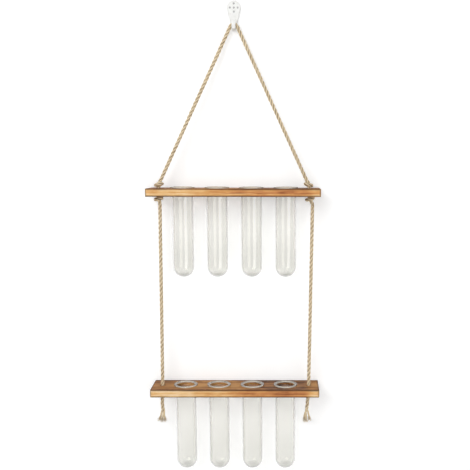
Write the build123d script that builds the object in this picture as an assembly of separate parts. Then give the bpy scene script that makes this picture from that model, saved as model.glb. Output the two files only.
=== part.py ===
from build123d import *
import math
import os

# Two-tier hanging propagation station: a wall hook with its nails, one knotted jute rope,
# two pine shelves and eight round-bottomed glass tubes that hang in them by their rims.
# Millimetres. X runs along the shelves, -Y faces the viewer and Z is up.
# The origin is the centre of the hook's disc, on the wall plane.

# Glass tubes
tube_dia = 30.0
tube_wall = 1.2
tube_length = 132.0
rim_dia = 35.5
rim_height = 2.0
rim_edge_radius = 0.6
rim_neck_radius = 0.5
mouth_radius = 1.5
tube_count = 4
tube_clearance = 0.5

# Shelves
shelf_length = 250.0
shelf_depth = 54.0
shelf_thick = 11.5
shelf_corner_radius = 1.5
shelf_edge_radius = 0.8
tube_hole_edge = 0.6
rope_hole_dia = 8.0
rope_hole_edge = 0.8
rope_inset = 15.0
wall_gap = 1.0

# Gap from the last tube to the rope beside it, in tube pitches
end_gap_share = 0.7

# Heights of the two tiers: hook saddle to upper shelf top, then shelf top to shelf top
hang_height = 226.5
tier_height = 295.0

# Rope, its knots and its free ends
rope_dia = 5.5
rope_play = 0.3
crook_play = 1.0
neck_length = 7.0
tail_length = 29.0
knot_rope_dia = 3.1
knot_pitch = 3.7
knot_lead = 8.2
corner_share = 0.45

# Turns of the overhand knot as radius and height in knot pitches, with their angles.
# The second half of the knot is the first half turned over about the Y direction.
knot_turn_shares = ((0.78, 0.0), (1.3, 0.6), (1.6, 1.0), (1.3, 0.55))
knot_turn_angles = (30, 85, 155, 220)
knot_middle_shares = (0.95, 0.0)
knot_middle_angle = 270
knot_exit_shares = (0.15, 1.0)
knot_exit_angle = 330
knot_crown_share = 0.9
knot_axis_share = 1.75

# Route of each free end, left then right, in tail lengths: across, towards the viewer and down
tail_shares = {
    -1: ((0.0, 0.0, 0.25), (0.05, 0.03, 0.6), (-0.03, 0.0, 1.0)),
    1: ((0.0, 0.0, 0.25), (-0.03, 0.03, 0.6), (0.06, 0.0, 1.0)),
}

# Wall hook
disc_dia = 20.0
plate_thick = 3.5
plate_edge_radius = 1.2
saddle_drop = 29.8
arm_width = 5.5
arm_under = 0.6
lip_height = 14.0
lip_thick = 2.4
lip_lean = 1.2
lip_tip_radius = 2.2
lip_heel_radius = 1.6

# Hook nails
nail_count = 4
nail_circle_dia = 11.2
nail_dia = 1.2
nail_neck_dia = 1.6
nail_head_dia = 2.8
nail_head_thick = 0.8
nail_recess = 0.6
nail_depth = 9.0
nail_point = 1.8
nail_play = 0.05

# Sizes that follow from those above
rope_radius = rope_dia / 2
rope_spacing = shelf_length - 2 * rope_inset
tube_pitch = rope_spacing / (tube_count - 1 + 2 * end_gap_share)
arm_radius = arm_width / 2
bend_radius = arm_radius + rope_play + rope_radius
crook_width = rope_dia + 2 * crook_play
knot_half_height = knot_crown_share * knot_pitch + knot_rope_dia / 2

# Places that the pieces share
seat = Vector(0, -plate_thick - crook_width / 2, -saddle_drop)
shelf_y = -wall_gap - shelf_depth / 2
upper_top = seat.Z - hang_height
lower_top = upper_top - tier_height
knot_rise = rope_play + knot_half_height
left, right = -1, 1


def at_rope(side, height):
    """A point on one of the two vertical rope lines."""
    return Vector(side * rope_spacing / 2, shelf_y, height)


# Heights along the vertical ropes, from the upper shelf down to the tails
upper_knot_z = upper_top + knot_rise
upper_hole_z = upper_top - shelf_thick / 2
under_knot_z = upper_top - shelf_thick - knot_rise
neck_top_z = under_knot_z - knot_lead - rope_play - rope_radius
drop_top_z = neck_top_z - neck_length
stub_top_z = lower_top - rope_radius - rope_play
stopper_knot_z = lower_top - shelf_thick - knot_rise
tail_top_z = stopper_knot_z - knot_lead

# The sling is a triangle in one plane that leans out from the hook to the shelf's middle.
slope = Vector(0, shelf_y, upper_knot_z) - seat
uphill = slope.normalized() * -1
sling_reach = math.hypot(rope_spacing / 2, slope.length)
leave_angle = math.acos(bend_radius / sling_reach) - math.atan2(slope.length, rope_spacing / 2)
sling_plane = Plane(origin=seat, x_dir=(1, 0, 0), z_dir=Vector(1, 0, 0).cross(uphill))


def leg_top(side):
    """Where a leg of the sling leaves the bend over the hook."""
    across = Vector(side * bend_radius * math.cos(leave_angle), 0, 0)
    return seat + across + uphill * (bend_radius * math.sin(leave_angle))


def leg_direction(side):
    """Unit vector up a leg, from its knot to the hook."""
    return (leg_top(side) - at_rope(side, upper_knot_z)).normalized()


def turned_profile(build_outline):
    """A solid turned about Z from an outline drawn in radius and height."""
    with BuildSketch(Plane.XZ) as section:
        with BuildLine():
            build_outline()
        make_face()
    return revolve(section.sketch, Axis.Z)


def tube_outline():
    """Half section of a tube, with zero height at the underside of its rim."""
    outer = tube_dia / 2
    inner = outer - tube_wall
    rim = rim_dia / 2
    bowl = rim_height - tube_length + outer
    outside = CenterArc((0, bowl), outer, -90, 90)
    neck = CenterArc((outer + rim_neck_radius, -rim_neck_radius), rim_neck_radius, 180, -90)
    low_edge = CenterArc((rim - rim_edge_radius, rim_edge_radius), rim_edge_radius, -90, 90)
    high_edge = CenterArc((rim - rim_edge_radius, rim_height - rim_edge_radius), rim_edge_radius, 0, 90)
    mouth = CenterArc((inner + mouth_radius, rim_height - mouth_radius), mouth_radius, 90, 90)
    inside = CenterArc((0, bowl), inner, 0, -90)
    stretches = (outside, neck, low_edge, high_edge, mouth, inside, outside)
    for before, after in zip(stretches, stretches[1:]):
        Line(before @ 1, after @ 0)


def hole_cutter(diameter, edge, clearance=0.0):
    """Tool for a hole through a shelf, widened at both faces by a small chamfer."""
    radius = diameter / 2 + clearance
    half = shelf_thick / 2

    def outline():
        Polyline((0, -half), (radius + edge, -half), (radius, edge - half), (radius, half - edge),
                 (radius + edge, half), (0, half), close=True)

    return turned_profile(outline)


def tube_x(number):
    """Place along the shelf of a tube, counted from the left."""
    return (number - (tube_count - 1) / 2) * tube_pitch


def shelf():
    """A pine board with softened edges, tube holes in a row and a rope hole at each end."""
    board = Box(shelf_length, shelf_depth, shelf_thick)
    board = fillet(board.edges().filter_by(Axis.Z), shelf_corner_radius)
    rims = board.faces().filter_by(Axis.Z).edges()
    board = fillet(rims, shelf_edge_radius)
    tube_hole = hole_cutter(tube_dia, tube_hole_edge, tube_clearance)
    rope_hole = hole_cutter(rope_hole_dia, rope_hole_edge)
    for number in range(tube_count):
        board -= Pos(tube_x(number), 0, 0) * tube_hole
    for side in (left, right):
        board -= Pos(side * rope_spacing / 2, 0, 0) * rope_hole
    return board


def rope_run(start, end, round_start=False, round_end=False):
    """A straight taut length of rope; a rounded end lets it turn about that end."""
    run = (end - start).length

    def outline():
        if round_start:
            CenterArc((0, 0), rope_radius, -90, 90)
        else:
            Line((0, 0), (rope_radius, 0))
        Line((rope_radius, 0), (rope_radius, run))
        if round_end:
            CenterArc((0, run), rope_radius, 0, 90)
        else:
            Line((rope_radius, run), (0, run))
        Line((0, run + rope_radius * round_end), (0, -rope_radius * round_start))

    return Plane(origin=start, z_dir=end - start).location * turned_profile(outline)


def corner_radii(points):
    """The largest arc that the two runs at each corner leave room for."""
    radii = []
    for before, corner, after in zip(points, points[1:], points[2:]):
        into = corner - before
        out = after - corner
        half_turn = math.radians(into.get_angle(out)) / 2
        radii.append(corner_share * min(into.length, out.length) / math.tan(half_turn))
    return radii


def bent_rope(points, diameter):
    """Rope along a route of straight runs and arcs, tangent to each other."""
    radii = corner_radii(points)
    path = FilletPolyline(*points, radius=radii)
    section = Plane(origin=path @ 0, z_dir=path % 0) * Circle(diameter / 2)
    rope = sweep(section, path)
    expected = math.pi * diameter**2 / 4 * path.length
    print(f"rope {path.length:.1f} long, least radius {min(radii):.2f}, "
          f"volume {rope.volume / expected:.4f} of section times length")
    return rope


def knot(side, height, low_end, high_end):
    """An overhand knot centred on a rope line, between the two rope ends that it joins."""
    centre = at_rope(side, height)

    def turn(shares, angle, flip=1):
        radius, rise = (share * knot_pitch for share in shares)
        x = radius * math.cos(math.radians(angle))
        y = radius * math.sin(math.radians(angle))
        return centre + Vector(-side * flip * x, y, flip * rise)

    turns = list(zip(knot_turn_shares, knot_turn_angles))
    first_half = [turn(shares, angle) for shares, angle in turns]
    second_half = [turn(shares, angle, flip=-1) for shares, angle in reversed(turns)]
    low_exit = turn(knot_exit_shares, knot_exit_angle, flip=-1)
    high_exit = turn(knot_exit_shares, knot_exit_angle)
    middle = turn(knot_middle_shares, knot_middle_angle)
    low_lead = centre + (low_end - centre).normalized() * (knot_axis_share * knot_pitch)
    high_lead = centre + (high_end - centre).normalized() * (knot_axis_share * knot_pitch)
    first_half = [low_end, low_lead, low_exit, *first_half]
    second_half = [*second_half, high_exit, high_lead, high_end]
    return bent_rope([*first_half, middle, *second_half], knot_rope_dia)


def upper_knot(side):
    """Knot that rests on the upper shelf, from the foot of a leg to the middle of the hole."""
    leg_foot = at_rope(side, upper_knot_z) + leg_direction(side) * knot_lead
    return knot(side, upper_knot_z, at_rope(side, upper_hole_z), leg_foot)


def under_knot(side):
    """Knot that carries the upper shelf from below."""
    foot = at_rope(side, under_knot_z - knot_lead)
    return knot(side, under_knot_z, foot, at_rope(side, upper_hole_z))


def stopper_knot(side):
    """Knot that carries the lower shelf, with the rope that goes up into the hole."""
    return knot(side, stopper_knot_z, at_rope(side, tail_top_z), at_rope(side, stub_top_z))


def leg(side):
    """One leg of the sling, from the bend over the hook to the upper knot."""
    foot = at_rope(side, upper_knot_z) + leg_direction(side) * knot_lead
    return rope_run(foot, leg_top(side), round_end=True)


def rope_over_hook():
    """The bend of the sling over the hook's saddle, short of the legs' rounded ends."""
    trim = math.asin((rope_radius + rope_play) / bend_radius)
    first = math.degrees(leave_angle + trim)
    bend = sling_plane * CenterArc((0, 0), bend_radius, first, 180 - 2 * first)
    section = Plane(origin=bend @ 0, z_dir=bend % 0) * Circle(rope_radius)
    return sweep(section, bend)


def neck(side):
    """The short length just under a knot where the rope flexes."""
    top = at_rope(side, neck_top_z)
    foot = at_rope(side, drop_top_z + rope_radius + rope_play)
    return rope_run(foot, top, round_end=True)


def drop_rope(side):
    """The upright rope between the shelves, free to turn at both ends."""
    return rope_run(at_rope(side, lower_top), at_rope(side, drop_top_z), round_start=True, round_end=True)


def tail(side):
    """The cut end of the rope that hangs under the lower shelf."""
    top = at_rope(side, tail_top_z)
    route = [top + Vector(across, -front, -down) * tail_length for across, front, down in tail_shares[side]]
    return bent_rope([top, *route], rope_dia)


def nail_outline():
    """Half section of a nail, with zero height at the front of its head and its neck inside the plate."""
    head = nail_head_dia / 2
    neck = nail_neck_dia / 2
    shank = nail_dia / 2
    wall = plate_thick - nail_recess
    end = wall + nail_depth
    Polyline((0, 0), (head, 0), (head, nail_head_thick), (neck, nail_head_thick), (neck, wall),
             (shank, wall), (shank, end - nail_point), (0, end), close=True)


def nail_hole_outline():
    """Half section of a nail's hole in the plate, with the recess for its head."""
    head = nail_head_dia / 2 + nail_play
    neck = nail_neck_dia / 2 + nail_play
    Polyline((0, -nail_recess), (head, -nail_recess), (head, nail_head_thick), (neck, nail_head_thick),
             (neck, plate_thick), (0, plate_thick), close=True)


def nail_places():
    """Places of the nails, one in the middle of the disc and the rest on a circle around it."""
    around = [(0, 0)]
    for number in range(nail_count):
        angle = 2 * math.pi * number / nail_count
        around.append((nail_circle_dia / 2 * math.cos(angle), nail_circle_dia / 2 * math.sin(angle)))
    front = nail_recess - plate_thick
    return [Plane(origin=(x, front, z), x_dir=(1, 0, 0), z_dir=(0, 1, 0)).location for x, z in around]


def hook_plate():
    """Teardrop plate of the hook, flat against the wall, with its nail holes."""
    outline = Circle(disc_dia / 2) + Pos(0, -saddle_drop) * Circle(arm_radius)
    plate = extrude(Plane.XZ * make_hull(outline.edges()), plate_thick)
    front = plate.faces().sort_by(Axis.Y)[0]
    plate = fillet(front.edges(), plate_edge_radius)
    for place in nail_places():
        plate -= place * turned_profile(nail_hole_outline)
    return plate


def hook_arm():
    """Half-round saddle that the rope bends over, from the plate to the lip."""
    length = plate_thick + crook_width + lip_thick
    upper_half = Pos(0, arm_radius / 2) * Rectangle(arm_width, arm_radius)
    section = Circle(arm_radius) & upper_half
    section += Pos(0, -arm_under / 2) * Rectangle(arm_width, arm_under)
    return extrude(Plane.XZ * Pos(0, -saddle_drop) * section, length)


def hook_lip():
    """Lip that keeps the rope on the saddle, leaning outwards to a rounded tip."""
    inner = -plate_thick - crook_width
    outer = inner - lip_thick
    low = -saddle_drop - arm_under
    high = -saddle_drop + lip_height
    side_view = Polyline((inner, low), (outer, low), (outer - lip_lean, high), (inner - lip_lean, high), close=True)
    lip = extrude(Plane.YZ * make_face(side_view), arm_radius, both=True)
    tip_corners = lip.edges().group_by(Axis.Z)[-1].filter_by(Axis.X, reverse=True)
    lip = fillet(tip_corners, lip_tip_radius)
    heel = lip.edges().filter_by(Axis.X).group_by(Axis.Z)[0].sort_by(Axis.Y)[0]
    return fillet(heel, lip_heel_radius)


def wall_hook():
    """The moulded hook, one piece."""
    return hook_plate() + (hook_arm() & hook_envelope()) + hook_lip()


def hook_envelope():
    """Space up to the middle of the lip, which the saddle stays inside."""
    depth = plate_thick + crook_width + lip_thick / 2
    return Pos(0, -depth / 2, -saddle_drop) * Box(disc_dia, depth, disc_dia)


def build_nodes():
    """Every piece of the station by name, at its place."""
    nodes = {
        "wall_hook": wall_hook(),
        "hook_nails": Compound(children=[place * turned_profile(nail_outline) for place in nail_places()]),
        "rope_over_hook": rope_over_hook(),
        "upper_knots": Compound(children=[upper_knot(side) for side in (left, right)]),
        "under_knots": Compound(children=[under_knot(side) for side in (left, right)]),
        "stopper_knots": Compound(children=[stopper_knot(side) for side in (left, right)]),
    }
    for side, word in ((left, "left"), (right, "right")):
        nodes[f"rope_leg_{word}"] = leg(side)
        nodes[f"rope_neck_{word}"] = neck(side)
        nodes[f"drop_rope_{word}"] = drop_rope(side)
        nodes[f"rope_tail_{word}"] = tail(side)
    board = shelf()
    glass = turned_profile(tube_outline)
    for tier, top in (("upper", upper_top), ("lower", lower_top)):
        nodes[f"{tier}_shelf"] = Pos(0, shelf_y, top - shelf_thick / 2) * board
        for number in range(tube_count):
            nodes[f"{tier}_tube_{number + 1}"] = Pos(tube_x(number), shelf_y, top) * glass
    return nodes


os.makedirs("parts", exist_ok=True)
for name, piece in build_nodes().items():
    export_step(piece, f"parts/{name}.step")

print("saddle axis", seat)
print("leg tops", leg_top(left), leg_top(right))
print("neck tops", at_rope(left, neck_top_z), "drop tops", at_rope(left, drop_top_z))
print("shelf tops", upper_top, lower_top, "shelf middle y", shelf_y)
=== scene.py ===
import math
import random

import bpy
import numpy as np
from mathutils import Matrix, Vector


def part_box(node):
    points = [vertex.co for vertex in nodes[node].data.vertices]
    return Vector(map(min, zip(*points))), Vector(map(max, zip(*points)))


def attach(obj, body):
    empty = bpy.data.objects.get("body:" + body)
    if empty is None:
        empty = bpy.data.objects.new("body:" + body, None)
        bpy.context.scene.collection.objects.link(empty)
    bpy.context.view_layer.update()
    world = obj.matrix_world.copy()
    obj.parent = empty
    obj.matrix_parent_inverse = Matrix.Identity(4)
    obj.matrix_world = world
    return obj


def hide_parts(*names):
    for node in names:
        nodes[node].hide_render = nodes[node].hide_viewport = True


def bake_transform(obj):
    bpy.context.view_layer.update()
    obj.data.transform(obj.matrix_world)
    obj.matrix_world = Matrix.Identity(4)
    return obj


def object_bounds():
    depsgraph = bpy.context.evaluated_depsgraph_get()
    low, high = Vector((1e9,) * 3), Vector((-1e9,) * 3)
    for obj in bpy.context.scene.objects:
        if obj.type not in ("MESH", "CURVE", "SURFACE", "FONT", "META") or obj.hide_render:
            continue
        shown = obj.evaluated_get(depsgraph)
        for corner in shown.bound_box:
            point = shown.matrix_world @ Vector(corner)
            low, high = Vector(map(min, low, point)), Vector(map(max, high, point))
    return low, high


# Looks of a hanging propagation station: twisted jute rope with knots and frayed ends, torched
# pine shelves, clear glass tubes and a white wall hook with steel pins. Metres, in the model's
# frame: X along the shelves, -Y towards the viewer, Z up, and the wall at zero Y.

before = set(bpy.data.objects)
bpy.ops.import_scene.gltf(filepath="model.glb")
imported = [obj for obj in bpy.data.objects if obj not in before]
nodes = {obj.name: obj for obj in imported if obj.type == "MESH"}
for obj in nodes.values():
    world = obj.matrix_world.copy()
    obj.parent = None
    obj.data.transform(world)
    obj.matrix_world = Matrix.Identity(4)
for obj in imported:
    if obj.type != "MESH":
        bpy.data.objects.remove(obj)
cad_low, cad_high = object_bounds()
left, right = -1, 1
side_words = {left: "left", right: "right"}
upright = Vector((0, 0, 1))
viewer_side = (0, -1, 0)

# Rope and its way over the hook, through the knots and down to the cut ends
rope_dia = 0.0055
rope_play = 0.0003
saddle_axis = Vector((0.0, -0.00725, -0.0298))
bend_radius = 0.0058
knot_pitch = 0.0037
knot_rope_dia = 0.0031
knot_lead = 0.0082
neck_length = 0.007
tail_length = 0.029
spline_order = 3
spline_resolution = 24

# Turns of a knot as radius and height in knot pitches, with their angles in degrees
knot_turn_shares = ((0.78, 0.0), (1.3, 0.6), (1.6, 1.0), (1.3, 0.55))
knot_turn_angles = (30, 85, 155, 220)
knot_middle_shares = (0.95, 0.0)
knot_middle_angle = 270
knot_exit_shares = (0.15, 1.0)
knot_exit_angle = 330
knot_crown_share = 0.9
knot_axis_share = 1.75

# Knots as photographed: flatter than the modelled ones, some tied the other way round, and moved
# with the ropes that leave them
knot_flat_share = 0.35
upper_knot_hands = {left: -1, right: -1}
under_knot_hands = {left: -1, right: 1}
upper_knot_moves = {left: Vector((0.0008, 0, 0)), right: Vector((-0.002, 0, 0))}
lower_knot_move = Vector((0, 0, 0.001))
drop_moves = {left: Vector((0.0018, 0, 0)), right: Vector((0.0039, 0, 0))}
tail_moves = {left: Vector((-0.0012, 0, 0)), right: Vector((-0.0015, 0, 0))}

# Route of each free end in tail lengths: across, towards the viewer and down
tail_shares = {
    left: ((0.0, 0.0, 0.25), (0.05, 0.03, 0.6), (-0.03, 0.0, 1.0)),
    right: ((-0.02, 0.0, 0.25), (-0.06, 0.03, 0.6), (-0.03, 0.0, 1.0)),
}

# Where each strand of a free end goes as it opens, in rope diameters: across, depth and rise
fan_shares = {
    left: ((-0.68, 0.1, 0.0), (0.08, -0.35, 0.1), (0.68, 0.1, -0.1)),
    right: ((-0.72, 0.1, 0.0), (-0.22, -0.35, -0.1), (0.74, 0.1, 0.15)),
}

# Opening of a cut end: its length, how far the painted shade in the gaps between strands eases and
# how soon, and the depth that its fibres show, which keeps a little of that painted shade on them
fray_length = 0.02
fray_pale_share = 0.5
fray_pale_end_share = 0.25
fray_depth_share = 0.8

# Strands of the rope: their size in rope diameters, how their wobbles follow each other in radians,
# the lay and the mesh steps
strand_count = 3
strand_radius_share = 0.25
strand_offset_share = 0.25
strand_wobble_share = 0.035
strand_phase = 2
strand_sides = 14
lay_length = 0.0214
yarn_lay_length = 0.021
ring_step = 0.0007

# Loose fibres on the rope: their roots in rope radii, and how far they head out, along and astray
fibre_spacing = 0.0011
fibre_radius = 0.00006
fibre_length_range = (0.002, 0.0065)
fibre_root_shares = (0.75, 0.95)
fibre_out_shares = (0.15, 0.7)
fibre_along_shares = (-1, 1)
fibre_stray_share = 0.4
fibre_curl_share = 0.35

# Brush at the cut ends: its roots in strand radii, and how far it spreads and reaches past the end
brush_count = 80
brush_radius = 0.00012
brush_root_length = 0.007
brush_over_length = 0.005
brush_root_shares = (0.5, 1)
brush_over_shares = (0.2, 1)
brush_spread_shares = (0, 0.6)
brush_stray_share = 0.12
brush_curl_share = 0.15

# Mesh of one fibre; the side is a direction that few fibres head in
hair_rings = 5
hair_sides = 3
hair_side = (0.36, 0.48, 0.8)
hair_taper_share = 0.7

# Seeds of the random draws; the side of the rope is added to the last three
sling_seed = 11
drop_seed = 20
end_seed = 30
brush_seed = 40

# Jute: colours along its yarn, and painted shade in the gaps between strands, by the depth in rope
# radii. This range and those below give where they start and end, and then the values there.
straw_stops = ((0.28, (180, 155, 118)), (0.5, (229, 209, 174)), (0.72, (243, 229, 201)))
strand_gap_shade_tint = (94, 70, 48)
strand_gap_shade_shares = (0.6, 0.88, 1.0, 0.0)
yarn_scales = (90, 5, 5)
yarn_noise = {"scale": 1.6, "detail": 6, "roughness": 0.7}
jute_noise = {"scale": 140, "detail": 3}
yarn_share = 0.75
yarn_relief = {"strength": 0.7, "distance": 0.0004}

# Middle of noise and of colour ramps, which go from zero to one
halfway = 0.5

# Pine grain: growth rings, fine streaks and broad blotches
ring_scales = Vector((1.6, 28, 28))
ring_rise = 1.1
ring_wave = {"Scale": 2.2, "Distortion": 4.5, "Detail": 3, "Detail Scale": 1.1}
ring_share = 0.22
streak_scales = (12, 210, 210)
streak_noise = {"scale": 3.0, "detail": 6, "roughness": 0.7, "distortion": 0.4}
blotch_scales = (30, 60, 60)
blotch_noise = {"scale": 1.4, "detail": 4}
blotch_share = 0.6
pine_rough_shares = (0.2, 0.9, 0.72, 0.5)
pine_relief = {"strength": 0.35, "distance": 0.0003}

# Pine colours by tone: planed long edges, scorched faces and charred arrises
planed_stops = (
    (0.2, (140, 80, 44)),
    (0.4, (194, 127, 76)),
    (0.58, (217, 160, 96)),
    (0.76, (236, 194, 136)),
    (0.95, (245, 218, 180)),
)
scorched_stops = ((0.25, (86, 52, 32)), (0.48, (164, 110, 60)), (0.75, (206, 152, 90)))
char_tint = (66, 40, 24)
char_share = 0.85

# Tones of each shelf's long edge: at the left, at the right, where the right one starts and at the
# pale end. Lighter at the left partly as painted light from that side, partly the wood's own tone.
front_tones = {"upper": (0.22, -0.05, 0.2, 0.2), "lower": (0.3, -0.165, 0.68, 0.36)}

# Stretches of a shelf in shares of its half sizes, some with the tones at their start and end
pale_end_shares = (0.8, 0.95)
scorch_rise_shares = (-0.85, -0.4, -0.03, 0.1)
scorch_fall_shares = (-0.05, 0.4, 0.0, -0.25)
scorch_edge_shares = (0.55, 1.0, 0.02, -0.17)
scorch_end_share = 0.5
broad_face_shares = (0.9, 0.985)
long_edge_shares = (0.95, 0.985)
short_edge_shares = (0.986, 0.996)
char_line_shares = (0.5, 0.95)
char_line_ragged_share = 0.7
char_end_shares = (0.976, 1.0, 0.0, 0.8)
char_end_ragged_share = 0.03

# Glass: linear colours of its body and lower part, painted shade in its round bottom and along its
# outline, painted light in its pale rim with painted shade along the rim's outline, and of its shadow
glass_tint = (0.95, 0.946, 0.926, 1)
lower_tint = (0.88, 0.877, 0.852, 1)
bowl_shade_tint = (0.62, 0.62, 0.6, 1)
outline_shade_tint = (0.68, 0.68, 0.66, 1)
rim_glow_tint = (0.95, 0.9, 0.78, 1)
rim_outline_shade_tint = (0.42, 0.41, 0.38, 1)
glass_shadow_tint = (0.82, 0.82, 0.81, 1)
# Heights of the painted bottom shade and of the lower tint, and where the painted rim light is full
bowl_shade_height = 0.008
lower_tint_height = 0.09
rim_full_share = 0.4
# How the painted outline shade follows facing, and how much less clear it and the rim light make it
facing_blend = 0.5
outline_shade_shares = (0.4, 0.75)
outline_cover_share = 0.4
clear_shares = (0.0, 1.0, 1.0, 0.55)
glass_noise = {"scale": 60}
glass_rough_share = 0.03

# White plastic with a trace of orange peel, and steel with fine scratches
plastic_stops = ((0.3, (238, 238, 235)), (0.7, (247, 247, 245)))
plastic_noise = {"scale": 220, "detail": 3}
plastic_rough_shares = (0.3, 0.7, 0.26, 0.36)
peel_noise = {"scale": 900, "detail": 2}
peel_relief = {"strength": 0.06, "distance": 0.0002}
steel_stops = ((0.3, (146, 146, 146)), (0.7, (192, 192, 190)))
scratch_scales = (1, 0.1, 1)
scratch_noise = {"scale": 2600, "detail": 3}
steel_rough_shares = (0.3, 0.7, 0.28, 0.5)

# Seen colours to linear ones: the brightest level, the end and slope of the straight part, and the
# offset and power of the curve above it
brightest_level = 255
tint_straight_end = 0.04045
tint_slope = 12.92
tint_offset = 0.055
tint_power = 2.4

# Camera as found from the photograph, with angles in degrees
camera_place = Vector((0.069, -1.1588, -0.2188))
camera_yaw = -0.227
camera_tilt = 8.674
camera_roll = 0.109
camera_lens = 59.28
camera_sensor = 36.0
camera_shift_shares = (-0.1055, 0.0961)

# Stage, and the reach within which light passes the wall to a back that touches it
wall_half_width = 2.0
wall_height = 1.6
wall_clearance = 0.0002
touch_reach = 0.003
floor_drop = 0.09
floor_depth = 3.0
stage_albedo = 0.82
stage_glow = 0.34

# Light: lamps with their places, sizes and watts, and the strength of the sky
lamps = {
    "key_light": ((-0.9, -2.0, 0.7), 1.4, 27),
    "fill_light": ((1.3, -1.8, -0.5), 1.4, 15),
}
sky_light = 0.34

# Sizes read from the model
upper_low, upper_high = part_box("upper_shelf")
lower_low, lower_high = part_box("lower_shelf")
shelf_y = (upper_low.y + upper_high.y) / 2
rope_x = sum(corner.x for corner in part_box("drop_rope_right")) / 2
rope_radius = rope_dia / 2

# Heights along the upright ropes
knot_rise = rope_play + knot_crown_share * knot_pitch + knot_rope_dia / 2
upper_knot_z = upper_high.z + knot_rise
hole_z = (upper_low.z + upper_high.z) / 2
under_knot_z = upper_low.z - knot_rise
knot_foot_z = under_knot_z - knot_lead
pull_pivot_z = knot_foot_z - rope_play - rope_radius
sway_pivot_z = pull_pivot_z - neck_length
neck_foot_z = (pull_pivot_z + sway_pivot_z) / 2
stub_top_z = lower_high.z - rope_radius - rope_play
stopper_knot_z = lower_low.z - knot_rise
tail_top_z = stopper_knot_z - knot_lead


def rope_point(side, height):
    """A point on one of the two upright rope lines."""
    return Vector((side * rope_x, shelf_y, height))


def leg_ends(side):
    """Where a leg of the sling leaves the bend over the hook, and its direction up to there."""
    slope = Vector((0, shelf_y, upper_knot_z)) - saddle_axis
    uphill = -slope.normalized()
    reach = math.hypot(rope_x, slope.length)
    leave = math.acos(bend_radius / reach) - math.atan2(slope.length, rope_x)
    across = Vector((side * bend_radius * math.cos(leave), 0, 0))
    top = saddle_axis + across + uphill * (bend_radius * math.sin(leave))
    return top, (top - rope_point(side, upper_knot_z)).normalized()


def knot_route(centre, hand, low_end, high_end, high_run=upright):
    """The turns of an overhand knot, from its lower end to its upper one."""

    def turn(shares, angle, flip=1):
        radius, rise = (share * knot_pitch for share in shares)
        x = radius * math.cos(math.radians(angle))
        y = radius * math.sin(math.radians(angle))
        return centre + Vector((-hand * flip * x, y, flip * rise * knot_flat_share))

    turns = list(zip(knot_turn_shares, knot_turn_angles))
    first_half = [turn(shares, angle) for shares, angle in turns]
    second_half = [turn(shares, angle, flip=-1) for shares, angle in reversed(turns)]
    middle = turn(knot_middle_shares, knot_middle_angle)
    lead = knot_axis_share * knot_pitch
    low_lead = Vector((low_end.x, low_end.y, centre.z - lead))
    high_lead = centre + high_run * lead
    way_in = [low_end, low_lead, turn(knot_exit_shares, knot_exit_angle, flip=-1)]
    way_out = [turn(knot_exit_shares, knot_exit_angle), high_lead, high_end]
    return [*way_in, *first_half, middle, *second_half, *way_out]


def knot_centres(side):
    """Middles of the knots on one side: over the upper shelf, under it and under the lower one."""
    upper = rope_point(side, upper_knot_z) + upper_knot_moves[side]
    under = rope_point(side, under_knot_z) + lower_knot_move
    stopper = rope_point(side, stopper_knot_z) + lower_knot_move
    return upper, under, stopper


def sling_half(side):
    """One half of the sling, from under the upper shelf to the top of the hook's saddle."""
    top, direction = leg_ends(side)
    hole = rope_point(side, hole_z)
    upper_centre, under_centre, _ = knot_centres(side)
    run = (top - upper_centre).normalized()
    bend_reach = bend_radius * math.tan(math.acos(abs(direction.x)) / 2)
    foot = rope_point(side, knot_foot_z) + drop_moves[side]
    under = knot_route(under_centre, side * under_knot_hands[side], foot, hole)
    leg_foot = upper_centre + run * knot_lead
    upper = knot_route(upper_centre, side * upper_knot_hands[side], hole, leg_foot, run)
    return [*under, *upper[1:], top - direction * bend_reach, top + direction * bend_reach]


def tail_route(side):
    """From the middle of the lower shelf's hole through the stopper knot to the cut end."""
    top = rope_point(side, tail_top_z) + tail_moves[side]
    route = knot_route(knot_centres(side)[-1], side, top, rope_point(side, stub_top_z))
    route.reverse()
    for across, nearer, down in tail_shares[side]:
        route.append(top + Vector((across, -nearer, -down)) * tail_length)
    return route


def smooth_line(points):
    """Points read from a smooth curve with the given control points."""
    curve = bpy.data.curves.new("route", "CURVE")
    curve.dimensions = "3D"
    spline = curve.splines.new("NURBS")
    spline.points.add(len(points) - 1)
    for place, point in zip(spline.points, points):
        place.co = (*point, 1)
    spline.order_u = spline_order
    spline.use_endpoint_u = True
    spline.resolution_u = spline_resolution
    holder = bpy.data.objects.new("route", curve)
    mesh = bpy.data.meshes.new_from_object(holder)
    line = np.array([vertex.co for vertex in mesh.vertices])
    bpy.data.objects.remove(holder)
    bpy.data.curves.remove(curve)
    bpy.data.meshes.remove(mesh)
    return line


def line_length(line):
    """Length of a line of points."""
    return float(np.linalg.norm(np.diff(line, axis=0), axis=1).sum())


def even_steps(line):
    """Distances along a line in even steps, and the points there."""
    along = np.concatenate([[0], np.cumsum(np.linalg.norm(np.diff(line, axis=0), axis=1))])
    steps = np.linspace(0, along[-1], round(along[-1] / ring_step) + 1)
    return steps, np.stack([np.interp(steps, along, line[:, axis]) for axis in range(3)], axis=1)


def carried_sides(points, first_side):
    """Directions along and across a line at each point, carried along it without twist."""
    tangents = np.gradient(points, axis=0)
    tangents /= np.linalg.norm(tangents, axis=1)[:, None]
    sides = np.empty_like(points)
    side = np.array(first_side, float)
    for number, tangent in enumerate(tangents):
        side = side - (side @ tangent) * tangent
        side /= np.linalg.norm(side)
        sides[number] = side
    return tangents, sides, np.cross(tangents, sides)


def ease(values):
    """Values held between zero and one, and eased at both."""
    held = np.clip(values, 0, 1)
    return held * held * (3 - 2 * held)


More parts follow.
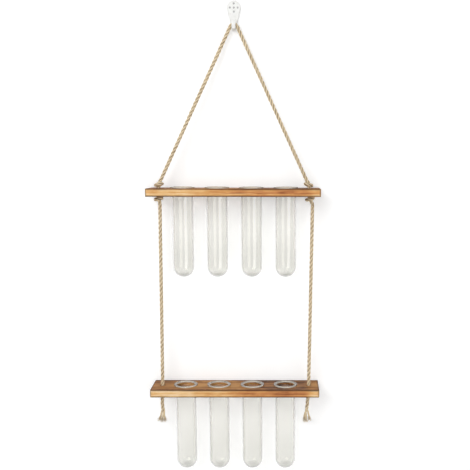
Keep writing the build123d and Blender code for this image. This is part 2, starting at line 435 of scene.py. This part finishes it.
class Mesh:
    """Points, faces, fibre places and depths of a mesh in the making."""

    def __init__(self):
        self.points = []
        self.faces = []
        self.fibres = []
        self.depths = []

    def add_tube(self, centres, radii, sides, first_side, twist, along, top_depths, rope=None):
        """A closed tube along some centres; fibres hold the place along and around it.

        Depths hold how far each point is from the rope's axis, in radii of the rope there, up to the
        top depth given for each ring. The jute paints shade where the depth is low, in the gaps
        between strands.
        """
        count = len(centres)
        start = len(self.points)
        _, one, other = carried_sides(centres, first_side)
        angles = 2 * math.pi * np.arange(sides) / sides
        for number in range(count):
            ring = np.cos(angles)[:, None] * one[number] + np.sin(angles)[:, None] * other[number]
            corners = centres[number] + ring * radii[number]
            self.points.extend(map(tuple, corners))
            depths = np.full(sides, top_depths[number])
            if rope:
                axis, reach = rope
                away = np.linalg.norm(corners - axis[number], axis=1) / reach[number]
                depths = np.minimum(depths, away)
            self.depths.extend(depths)
            yarn = angles - twist[number]
            self.fibres.extend(zip([along[number]] * sides, np.cos(yarn), np.sin(yarn)))
        for ring in range(count - 1):
            low = start + ring * sides
            high = low + sides
            for corner in range(sides):
                after = (corner + 1) % sides
                self.faces.append((low + corner, low + after, high + after, high + corner))
        self.faces.append(tuple(start + corner for corner in reversed(range(sides))))
        self.faces.append(tuple(start + (count - 1) * sides + corner for corner in range(sides)))

    def add_hair(self, root, heading, curl, length, radius, depth=1.0):
        """One loose fibre, curved and tapered."""
        shares = np.linspace(0, 1, hair_rings)
        centres = root + length * (shares[:, None] * heading + (shares**2)[:, None] * curl)
        radii = radius * (1 - hair_taper_share * shares)
        across = np.cross(heading, hair_side)
        no_twist = np.zeros(hair_rings)
        depths = np.full(hair_rings, depth)
        self.add_tube(centres, radii, hair_sides, across, no_twist, shares * length, depths)

    def made(self, name, material):
        """The finished piece, smooth, with its material and with fibre places and depths on its
        points.
        """
        mesh = bpy.data.meshes.new(name)
        mesh.from_pydata(self.points, [], self.faces)
        mesh.polygons.foreach_set("use_smooth", [True] * len(mesh.polygons))
        attribute = mesh.attributes.new("fibre", "FLOAT_VECTOR", "POINT")
        attribute.data.foreach_set("vector", np.array(self.fibres, np.float32).ravel())
        attribute = mesh.attributes.new("depth", "FLOAT", "POINT")
        attribute.data.foreach_set("value", np.array(self.depths, np.float32))
        mesh.materials.append(material)
        piece = bpy.data.objects.new(name, mesh)
        bpy.context.scene.collection.objects.link(piece)
        return piece


def rope_piece(name, line, fans=None):
    """Twisted rope along a line, with its strands spread at the far end where fans are given."""
    steps, points = even_steps(line)
    _, sides, crosses = carried_sides(points, viewer_side)
    opened = np.zeros(len(steps))
    if fans:
        opened = ease((steps - steps[-1] + fray_length) / fray_length)
    # As a cut end opens, the painted shade between its strands eases, and a little of it stays
    paling = fray_pale_share * np.minimum(1, opened / fray_pale_end_share)
    rope = (points, rope_radius * (1 - paling))
    top_depths = 1 - (1 - fray_depth_share) * opened
    twist = 2 * math.pi * steps / yarn_lay_length
    mesh = Mesh()
    tips = []
    for strand in range(strand_count):
        angle = 2 * math.pi * (steps / lay_length + strand / strand_count)
        spin = np.cos(angle)[:, None] * sides + np.sin(angle)[:, None] * crosses
        centres = points + spin * (strand_offset_share * rope_dia * (1 - opened))[:, None]
        if fans:
            centres = centres + opened[:, None] * np.array(fans[strand]) * rope_dia
        waves = np.sin(twist + strand * strand_phase) + np.sin(math.pi * steps / lay_length)
        radii = strand_radius_share * rope_dia * (1 + strand_wobble_share * waves)
        along = steps + strand * line_length(line)
        mesh.add_tube(centres, radii, strand_sides, spin[0], twist, along, top_depths, rope)
        tips.append((centres[-round(brush_root_length / ring_step) :], radii[-1]))
    return mesh.made(name, rope_material), tips


def random_direction(chance):
    """A direction in any way."""
    direction = np.array([chance.gauss(0, 1) for _ in range(3)])
    return direction / np.linalg.norm(direction)


def fibre_piece(name, line, seed):
    """Loose fibres that stand off a rope all along it."""
    chance = random.Random(seed)
    steps, points = even_steps(line)
    tangents, sides, crosses = carried_sides(points, viewer_side)
    mesh = Mesh()
    for _ in range(round(steps[-1] / fibre_spacing)):
        place = chance.randrange(len(points))
        angle = chance.uniform(0, 2 * math.pi)
        out = math.cos(angle) * sides[place] + math.sin(angle) * crosses[place]
        root = points[place] + out * rope_radius * chance.uniform(*fibre_root_shares)
        heading = out * chance.uniform(*fibre_out_shares)
        heading = heading + tangents[place] * chance.uniform(*fibre_along_shares)
        heading = heading + fibre_stray_share * random_direction(chance)
        heading /= np.linalg.norm(heading)
        curl = fibre_curl_share * random_direction(chance)
        mesh.add_hair(root, heading, curl, chance.uniform(*fibre_length_range), fibre_radius)
    return mesh.made(name, rope_material)


def brush_piece(name, tips, seed):
    """Fibres that open out of the strands' last stretch, to about level ends."""
    chance = random.Random(seed)
    mesh = Mesh()
    for centres, radius in tips:
        forward = centres[-1] - centres[0]
        forward /= np.linalg.norm(forward)
        for _ in range(brush_count):
            place = centres[chance.randrange(len(centres))]
            off = random_direction(chance)
            off = off - (off @ forward) * forward
            root = place + off * radius * chance.uniform(*brush_root_shares)
            length = np.linalg.norm(centres[-1] - place)
            length = length + brush_over_length * chance.uniform(*brush_over_shares)
            heading = forward + off * chance.uniform(*brush_spread_shares)
            curl = brush_stray_share * random_direction(chance) + brush_curl_share * off
            # Brush fibres keep a little of the painted shade between strands
            mesh.add_hair(root, heading, curl, length, brush_radius, fray_depth_share)
    return mesh.made(name, rope_material)


def tint(*levels):
    """A colour as it is seen, from 0 to 255, as the linear one that shaders take."""
    linear = []
    for level in levels:
        share = level / brightest_level
        if share <= tint_straight_end:
            linear.append(share / tint_slope)
        else:
            linear.append(((share + tint_offset) / (1 + tint_offset)) ** tint_power)
    return (*linear, 1)


class Material:
    """A material around one Principled shader, with short ways to add nodes to it."""

    def __init__(self, name, **sockets):
        self.made = bpy.data.materials.new(name)
        self.made.use_nodes = True
        self.tree = self.made.node_tree
        self.shader = self.tree.nodes["Principled BSDF"]
        self.output = self.tree.nodes["Material Output"]
        for socket, value in sockets.items():
            self.set(socket.replace("_", " "), value)

    def node(self, kind, inputs=None, **settings):
        """A new node; an input is a value, or an output of another node to link."""
        made = self.tree.nodes.new(kind)
        for name, value in settings.items():
            setattr(made, name, value)
        for socket, value in (inputs or {}).items():
            self.feed(made.inputs[socket], value)
        return made

    def feed(self, socket, value):
        """Links an output to a socket, or sets the socket."""
        if isinstance(value, bpy.types.NodeSocket):
            self.tree.links.new(value, socket)
        else:
            socket.default_value = value

    def set(self, socket, value):
        """Links an output to a socket of the shader, or sets that socket."""
        self.feed(self.shader.inputs[socket], value)

    def attribute(self, name, output):
        """A value that the mesh holds at each point."""
        return self.node("ShaderNodeAttribute", attribute_name=name).outputs[output]

    def mapped(self, places, scale, location=(0, 0, 0)):
        """Places scaled and then moved."""
        inputs = {"Vector": places, "Scale": scale, "Location": location}
        return self.node("ShaderNodeMapping", inputs).outputs["Vector"]

    def coordinates(self, scale=(1, 1, 1), location=(0, 0, 0)):
        """Places on the object, in metres, scaled and then moved."""
        places = self.node("ShaderNodeTexCoord").outputs["Object"]
        return self.mapped(places, scale, location)

    def parts(self, vector):
        """The X, Y and Z of a vector."""
        return self.node("ShaderNodeSeparateXYZ", {"Vector": vector}).outputs

    def noise(self, vector, scale, detail=4, roughness=0.55, distortion=0.0):
        """Cloudy noise from zero to one."""
        inputs = {"Vector": vector, "Scale": scale, "Detail": detail}
        inputs.update({"Roughness": roughness, "Distortion": distortion})
        return self.node("ShaderNodeTexNoise", inputs).outputs["Fac"]

    def ramp(self, factor, stops):
        """Colours as they are seen, at places from zero to one."""
        made = self.node("ShaderNodeValToRGB", {"Fac": factor})
        elements = made.color_ramp.elements
        while len(elements) < len(stops):
            elements.new(halfway)
        for element, (place, colour) in zip(elements, stops):
            element.position = place
            element.color = tint(*colour)
        return made.outputs["Color"]

    def math(self, operation, first, *others):
        """An operation on the first value and each of the others in turn."""
        if not others:
            return self.node("ShaderNodeMath", {0: first}, operation=operation).outputs[0]
        for other in others:
            inputs = {0: first, 1: other}
            first = self.node("ShaderNodeMath", inputs, operation=operation).outputs[0]
        return first

    def range(self, value, low, high, to_low=0.0, to_high=1.0):
        """A value eased from one range to another."""
        inputs = {"Value": value, "From Min": low, "From Max": high}
        inputs.update({"To Min": to_low, "To Max": to_high})
        made = self.node("ShaderNodeMapRange", inputs, interpolation_type="SMOOTHSTEP")
        return made.outputs["Result"]

    def mix(self, factor, one, other):
        """Two colours mixed."""
        made = self.node("ShaderNodeMix", data_type="RGBA")
        self.feed(made.inputs["Factor"], factor)
        first, second = (socket for socket in made.inputs if socket.type == "RGBA")
        self.feed(first, one)
        self.feed(second, other)
        return next(socket for socket in made.outputs if socket.type == "RGBA")

    def bump(self, height, strength, distance):
        """Fine relief."""
        inputs = {"Height": height, "Strength": strength, "Distance": distance}
        self.set("Normal", self.node("ShaderNodeBump", inputs).outputs["Normal"])

    def surface(self, factor, one, other):
        """Two shaders mixed, as the material's surface."""
        made = self.node("ShaderNodeMixShader", {"Fac": factor, 1: one, 2: other})
        self.feed(self.output.inputs["Surface"], made.outputs["Shader"])


def jute():
    """Dry jute: pale straw fibres with painted shade in the gaps between strands, and no shine."""
    look = Material("jute_rope", Roughness=0.9, Specular_IOR_Level=0.25, Sheen_Weight=0.15)
    lengthwise = look.mapped(look.attribute("fibre", "Vector"), yarn_scales)
    yarn = look.noise(lengthwise, **yarn_noise)
    broad = look.noise(look.coordinates(), **jute_noise)
    yarn_part = look.math("MULTIPLY", yarn, yarn_share)
    broad_part = look.math("MULTIPLY", broad, 1 - yarn_share)
    straw = look.ramp(look.math("ADD", yarn_part, broad_part), straw_stops)
    # Painted shade in the gaps between strands, darkest where the depth is lowest
    gap_shade = look.range(look.attribute("depth", "Fac"), *strand_gap_shade_shares)
    look.set("Base Color", look.mix(gap_shade, straw, tint(*strand_gap_shade_tint)))
    look.bump(yarn, **yarn_relief)
    return look.made


def torched_pine(name, board, left_tone, right_tone, slope_end, pale_tone):
    """Pine scorched on its broad faces, with charred arrises and lighter, planed long edges."""
    look = Material(name, Specular_IOR_Level=0.25)
    low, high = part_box(board)
    centre = (low + high) / 2
    half = (high - low) / 2

    # Places in shares of the board's half sizes
    moved = [-place / size for place, size in zip(centre, half)]
    places = look.parts(look.coordinates([1 / size for size in half], moved))
    across = look.math("ABSOLUTE", places["X"])
    inward = look.math("ABSOLUTE", places["Y"])
    rise = look.math("ABSOLUTE", places["Z"])

    # Grain, and the tone that follows it
    ring_middle = (0, -centre.y * ring_scales.y, -centre.z * ring_scales.z + ring_rise)
    wave = {"Vector": look.coordinates(ring_scales, ring_middle), **ring_wave}
    wave_node = look.node("ShaderNodeTexWave", wave, wave_type="RINGS", wave_profile="SAW")
    rings = look.math("MULTIPLY", wave_node.outputs["Fac"], ring_share)
    streaks = look.noise(look.coordinates(streak_scales), **streak_noise)
    grain = look.math("ADD", rings, look.math("MULTIPLY", streaks, 1 - ring_share))
    blotches = look.noise(look.coordinates(blotch_scales), **blotch_noise)
    patches = look.math("MULTIPLY", look.math("SUBTRACT", blotches, halfway), blotch_share)
    tone = look.math("ADD", grain, patches)

    # Colours of the planed edges and the scorched faces
    # Lighter towards the left: partly painted light, partly the wood's own tone
    slope = look.range(places["X"], left, slope_end, left_tone, right_tone)
    pale_end = look.range(places["X"], *pale_end_shares, 0.0, pale_tone)
    planed = look.ramp(look.math("ADD", tone, slope, pale_end), planed_stops)
    scorch_rise = look.range(places["X"], *scorch_rise_shares)
    scorch_fall = look.range(places["X"], *scorch_fall_shares)
    scorch_edge = look.range(inward, *scorch_edge_shares)
    scorch_end = look.math("MULTIPLY", pale_end, scorch_end_share)
    scorch = look.math("ADD", scorch_rise, scorch_fall, scorch_edge, scorch_end)
    scorched = look.ramp(look.math("ADD", tone, scorch), scorched_stops)

    # Which face a place is on, with the drilled holes scorched too
    broad = look.range(rise, *broad_face_shares)
    long_edge = look.range(inward, *long_edge_shares)
    outer = look.math("MAXIMUM", long_edge, look.range(across, *short_edge_shares))
    not_broad = look.math("SUBTRACT", 1.0, broad)
    drilled = look.math("MULTIPLY", not_broad, look.math("SUBTRACT", 1.0, outer))
    faces = look.mix(look.math("MAXIMUM", broad, drilled), planed, scorched)

    # Ragged char along the arrises and at the ends
    ragged = look.math("SUBTRACT", streaks, halfway)
    ragged_rise = look.math("ADD", rise, look.math("MULTIPLY", ragged, char_line_ragged_share))
    ragged_across = look.math("ADD", across, look.math("MULTIPLY", ragged, char_end_ragged_share))
    char_line = look.math("MULTIPLY", look.range(ragged_rise, *char_line_shares), outer)
    charred = look.math("MAXIMUM", char_line, look.range(ragged_across, *char_end_shares))
    char = look.math("MULTIPLY", charred, char_share)
    look.set("Base Color", look.mix(char, faces, tint(*char_tint)))
    look.set("Roughness", look.range(grain, *pine_rough_shares))
    look.bump(grain, **pine_relief)
    return look.made


def clear_glass(name, tube, shelf_top):
    """Thin clear glass that lets light through to the wall, with painted light on its pale rim."""
    look = Material(name, IOR=1.47)
    low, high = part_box(tube)
    height = look.parts(look.coordinates())["Z"]
    rim_full = shelf_top + (high.z - shelf_top) * rim_full_share
    rim = look.range(height, shelf_top, rim_full)
    # Painted shade in the round bottom
    bowl_shade = look.range(height, low.z, low.z + bowl_shade_height, 1.0, 0.0)
    lower = look.range(height, low.z, low.z + lower_tint_height, 1.0, 0.0)
    # Painted shade along the outline, where the glass faces away
    facing = look.node("ShaderNodeLayerWeight", {"Blend": facing_blend}).outputs["Facing"]
    outline = look.range(facing, *outline_shade_shares)
    body = look.mix(lower, glass_tint, lower_tint)
    body = look.mix(bowl_shade, body, bowl_shade_tint)
    body = look.mix(outline, body, outline_shade_tint)
    # Painted light in the pale rim, with painted shade along its outline
    painted_lip = look.mix(outline, rim_glow_tint, rim_outline_shade_tint)
    look.set("Base Color", look.mix(rim, body, painted_lip))
    # The glass is made less clear at the painted rim light and outline shade, so that they show
    painted_cover = look.math("MAXIMUM", rim, look.math("MULTIPLY", outline, outline_cover_share))
    look.set("Transmission Weight", look.range(painted_cover, *clear_shares))
    smears = look.math("ADD", look.noise(look.coordinates(), **glass_noise), rim)
    look.set("Roughness", look.math("MULTIPLY", smears, glass_rough_share))
    shade = look.node("ShaderNodeBsdfTransparent", {"Color": glass_shadow_tint})
    shadow_ray = look.node("ShaderNodeLightPath").outputs["Is Shadow Ray"]
    look.surface(shadow_ray, look.shader.outputs["BSDF"], shade.outputs["BSDF"])
    return look.made


def white_plastic():
    """Moulded white plastic with a soft gloss and a trace of orange peel."""
    look = Material("white_plastic", Specular_IOR_Level=0.45)
    cloud = look.noise(look.coordinates(), **plastic_noise)
    look.set("Base Color", look.ramp(cloud, plastic_stops))
    look.set("Roughness", look.range(cloud, *plastic_rough_shares))
    look.bump(look.noise(look.coordinates(), **peel_noise), **peel_relief)
    return look.made


def pin_steel():
    """Bright steel pins with fine lengthwise scratches."""
    look = Material("pin_steel", Metallic=1.0)
    scratches = look.noise(look.coordinates(scratch_scales), **scratch_noise)
    look.set("Base Color", look.ramp(scratches, steel_stops))
    look.set("Roughness", look.range(scratches, *steel_rough_shares))
    return look.made


def stage_material(name, albedo, glow):
    """Pale wall or floor: it keeps shadows, and shows a little brighter than it lights.

    It is open from behind, and lets light through to the backs that touch it.
    """
    white = (albedo, albedo, albedo, 1)
    look = Material(name, Base_Color=white, Roughness=0.9, Specular_IOR_Level=0.0)
    rays = look.node("ShaderNodeLightPath").outputs
    seen = (rays["Is Camera Ray"], rays["Is Glossy Ray"], rays["Is Transmission Ray"])
    strength = look.math("MULTIPLY", look.math("MAXIMUM", *seen), glow)
    light = look.node("ShaderNodeEmission", {"Strength": strength})
    lit = look.node("ShaderNodeAddShader")
    look.feed(lit.inputs[0], look.shader.outputs["BSDF"])
    look.feed(lit.inputs[1], light.outputs["Emission"])
    lighting = look.math("MAXIMUM", rays["Is Diffuse Ray"], rays["Is Shadow Ray"])
    touching = look.math("LESS_THAN", rays["Ray Length"], touch_reach)
    behind = look.node("ShaderNodeNewGeometry").outputs["Backfacing"]
    opened = look.math("MAXIMUM", behind, look.math("MULTIPLY", lighting, touching))
    clear = look.node("ShaderNodeBsdfTransparent")
    look.surface(opened, lit.outputs["Shader"], clear.outputs["BSDF"])
    return look.made


def stage_sheet(name, corners, material):
    """A flat sheet of the stage, which faces the side where its corners run anticlockwise."""
    mesh = bpy.data.meshes.new(name)
    mesh.from_pydata(corners, [], [range(len(corners))])
    mesh.materials.append(material)
    sheet = bpy.data.objects.new(name, mesh)
    bpy.context.scene.collection.objects.link(sheet)


def area_light(name, place, target, size, power):
    """A soft square lamp aimed at a point."""
    lamp = bpy.data.lights.new(name, "AREA")
    lamp.size = size
    lamp.energy = power
    holder = bpy.data.objects.new(name, lamp)
    holder.location = place
    holder.rotation_euler = (target - Vector(place)).to_track_quat("-Z", "Y").to_euler()
    bpy.context.scene.collection.objects.link(holder)


def white_world():
    """A white world, which lights the object less than it shows."""
    world = bpy.data.worlds.new("studio")
    bpy.context.scene.world = world
    world.use_nodes = True
    tree = world.node_tree
    sky = tree.nodes["Background"]
    rays = tree.nodes.new("ShaderNodeLightPath")
    level = tree.nodes.new("ShaderNodeMapRange")
    level.inputs["To Min"].default_value = sky_light
    level.inputs["To Max"].default_value = 1.0
    tree.links.new(rays.outputs["Is Camera Ray"], level.inputs["Value"])
    tree.links.new(level.outputs["Result"], sky.inputs["Strength"])
    sky.inputs["Color"].default_value = (1, 1, 1, 1)


def set_camera():
    """The camera at its place, turned by its yaw, tilt and roll."""
    yaw, tilt, roll = (math.radians(angle) for angle in (camera_yaw, camera_tilt, camera_roll))
    level_side = Vector((math.cos(yaw), math.sin(yaw), 0))
    ahead = math.cos(yaw) * math.cos(tilt)
    forward = Vector((-math.sin(yaw) * math.cos(tilt), ahead, -math.sin(tilt)))
    upward = level_side.cross(forward)
    camera_side = math.cos(roll) * level_side + math.sin(roll) * upward
    camera_up = -math.sin(roll) * level_side + math.cos(roll) * upward
    lens = bpy.data.cameras.new("camera")
    lens.lens = camera_lens
    lens.sensor_width = camera_sensor
    lens.shift_x, lens.shift_y = camera_shift_shares
    camera = bpy.data.objects.new("camera", lens)
    turned = Matrix((camera_side, camera_up, -forward)).transposed()
    camera.matrix_world = Matrix.Translation(camera_place) @ turned.to_4x4()
    bpy.context.scene.collection.objects.link(camera)
    bpy.context.scene.camera = camera


def dress(names, material):
    """Gives some solids of the model a material."""
    for name in names:
        for place in nodes[name].material_slots:
            place.material = material


# Ropes: the sling with its knots, then on each side the neck, the drop and the cut end
rope_material = jute()
sling_line = smooth_line([*sling_half(left), *reversed(sling_half(right))])
sling, _ = rope_piece("sling_cord", sling_line)
sling_fibres = fibre_piece("sling_fibres", sling_line, sling_seed)
for piece in (sling, sling_fibres):
    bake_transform(piece)
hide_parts("rope_over_hook", "rope_leg_left", "rope_leg_right", "upper_knots", "under_knots")

for side, word in side_words.items():
    neck_heights = (knot_foot_z, pull_pivot_z, neck_foot_z)
    neck_points = [rope_point(side, height) + drop_moves[side] for height in neck_heights]
    neck, _ = rope_piece(f"neck_cord_{word}", smooth_line(neck_points))
    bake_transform(neck)
    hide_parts(f"rope_neck_{word}")

    drop_top = neck_points[-1]
    drop_foot = rope_point(side, stub_top_z)
    drop_line = smooth_line([drop_top, (drop_top + drop_foot) / 2, drop_foot])
    drop, _ = rope_piece(f"drop_cord_{word}", drop_line)
    drop_fibres = fibre_piece(f"drop_fibres_{word}", drop_line, drop_seed + side)
    for piece in (drop, drop_fibres):
        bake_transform(piece)
    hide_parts(f"drop_rope_{word}")

    end_line = smooth_line(tail_route(side))
    end, tips = rope_piece(f"end_cord_{word}", end_line, fan_shares[side])
    end_fibres = fibre_piece(f"end_fibres_{word}", end_line, end_seed + side)
    end_brush = brush_piece(f"end_brush_{word}", tips, brush_seed + side)
    for piece in (end, end_fibres, end_brush):
        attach(piece, "lower_tier")
    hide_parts(f"rope_tail_{word}", "stopper_knots")

# Rigid pieces keep their solids
for tier, top in (("upper", upper_high.z), ("lower", lower_high.z)):
    tubes = [name for name in nodes if name.startswith(f"{tier}_tube_")]
    dress(tubes, clear_glass(f"clear_glass_{tier}", tubes[0], top))
    dress([f"{tier}_shelf"], torched_pine(f"torched_pine_{tier}", f"{tier}_shelf", *front_tones[tier]))
dress(["wall_hook"], white_plastic())
dress(["hook_nails"], pin_steel())

# Stage, light and camera
floor_z = cad_low.z - floor_drop
pale_paint = stage_material("pale_stage", stage_albedo, stage_glow)
wall_corners = [
    (-wall_half_width, wall_clearance, floor_z),
    (wall_half_width, wall_clearance, floor_z),
    (wall_half_width, wall_clearance, wall_height),
    (-wall_half_width, wall_clearance, wall_height),
]
floor_corners = [
    (-wall_half_width, -floor_depth, floor_z),
    (wall_half_width, -floor_depth, floor_z),
    (wall_half_width, wall_clearance, floor_z),
    (-wall_half_width, wall_clearance, floor_z),
]
stage_sheet("wall", wall_corners, pale_paint)
stage_sheet("floor", floor_corners, pale_paint)

object_middle = (cad_low + cad_high) / 2
for name, (place, size, power) in lamps.items():
    area_light(name, place, object_middle, size, power)
white_world()
set_camera()
bpy.context.scene.view_settings.view_transform = "Standard"
